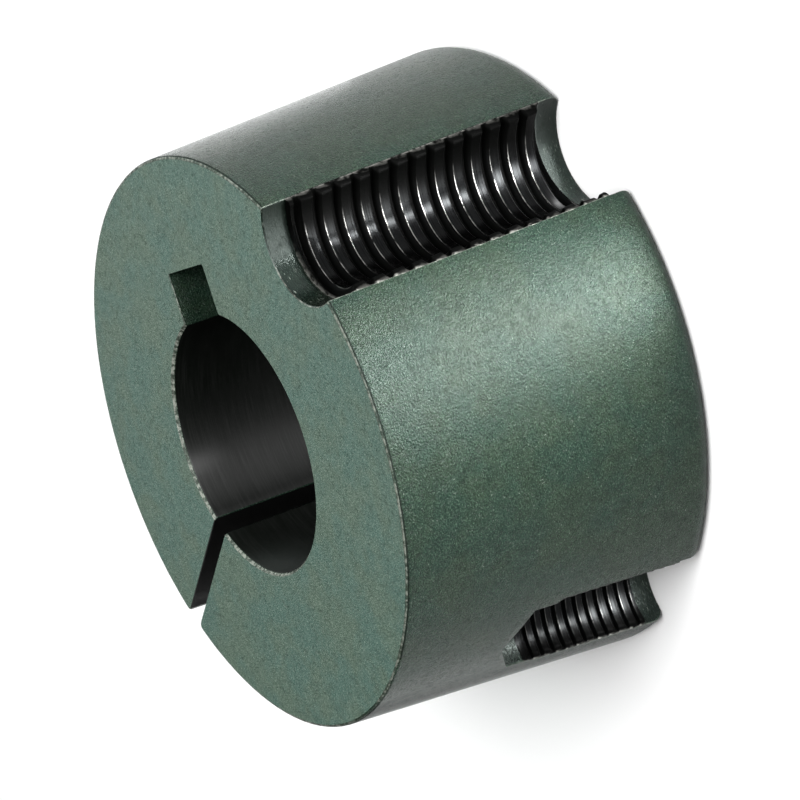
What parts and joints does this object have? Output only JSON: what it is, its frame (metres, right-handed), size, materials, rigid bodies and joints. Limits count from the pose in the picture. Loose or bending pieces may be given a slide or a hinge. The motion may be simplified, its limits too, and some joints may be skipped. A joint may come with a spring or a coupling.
{
  "type": "taper bush",
  "caption": "Split taper clamping bush with a keyed bore, plain half holes for clamping screws and a threaded half hole for a jacking screw.",
  "frame": {"origin": "centre of the large end face, on the bore's axis", "axes": "+Z along the bore from the large end to the small end, +X through the middle of the threaded half hole; the saw cut is on -X"},
  "size_m": [0.0469, 0.0472, 0.0254],
  "materials": {
    "phosphated_iron": "satin green-grey phosphate over a turned surface, with dark oiled threads"
  },
  "bodies": {
    "root": {"taper_bush": "phosphated_iron"}
  },
  "joints": []
}
